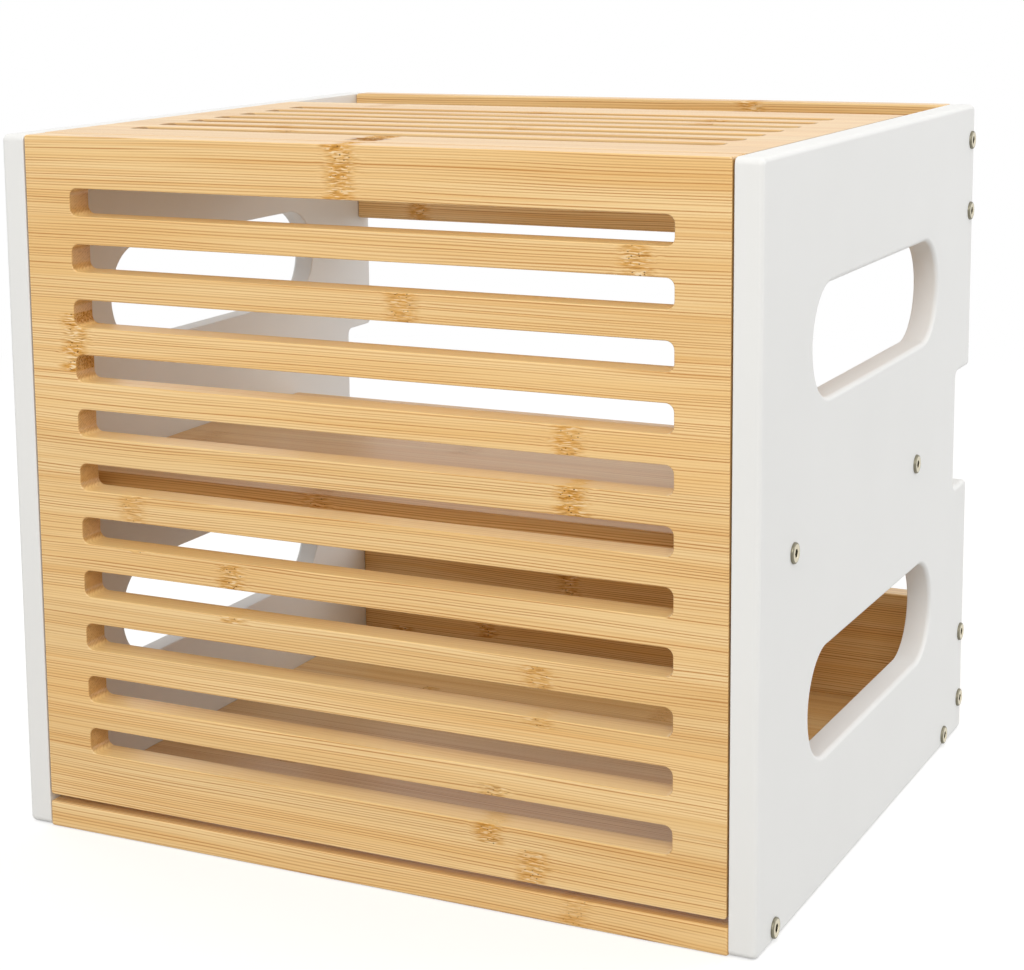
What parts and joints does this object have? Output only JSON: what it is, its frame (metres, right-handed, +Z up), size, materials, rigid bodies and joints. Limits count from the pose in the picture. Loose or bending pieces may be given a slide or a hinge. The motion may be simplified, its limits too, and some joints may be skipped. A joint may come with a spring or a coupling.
{
  "type": "router storage box",
  "caption": "Router storage box with white side panels, a slatted bamboo top, a middle shelf, an open rear for leads and a slatted front door that drops open on hidden pivot pins.",
  "frame": {"origin": "middle of the footprint, on the surface that the box stands on", "axes": "+X to the right seen from the front, along the width; +Y to the rear; +Z up"},
  "size_m": [0.302, 0.264, 0.27],
  "materials": {
    "painted_panel": "satin white paint on board",
    "bamboo_board": "satin lacquered laminated bamboo",
    "nickel_screw": "nickel plated, slightly warm",
    "pivot_steel": "ground steel",
    "magnet_nickel": "nickel plated magnet",
    "dowel_beech": "raw fluted beech dowel"
  },
  "bodies": {
    "cabinet": {"left_side_panel": "painted_panel", "right_side_panel": "painted_panel", "bottom_board": "bamboo_board", "lower_back_board": "bamboo_board", "rear_top_rail": "bamboo_board", "middle_shelf": "bamboo_board", "top_panel": "bamboo_board", "left_pivot_pin": "pivot_steel", "right_pivot_pin": "pivot_steel", "left_catch_magnet": "magnet_nickel", "right_catch_magnet": "magnet_nickel", "left_top_dowels": "dowel_beech", "right_top_dowels": "dowel_beech", "left_shelf_screws": "nickel_screw", "right_shelf_screws": "nickel_screw", "left_bottom_screws": "nickel_screw", "right_bottom_screws": "nickel_screw", "left_top_rail_screws": "nickel_screw", "right_top_rail_screws": "nickel_screw", "left_back_board_screws": "nickel_screw", "right_back_board_screws": "nickel_screw"},
    "door": {"front_door": "bamboo_board", "left_strike_plate": "pivot_steel", "right_strike_plate": "pivot_steel"}
  },
  "joints": [
    {"name": "door_hinge", "type": "hinge", "parent": "cabinet", "child": "door", "pos_m": [0, -0.128, 0.0205], "axis": [1, 0, 0], "range_deg": [0, 93]}
  ]
}
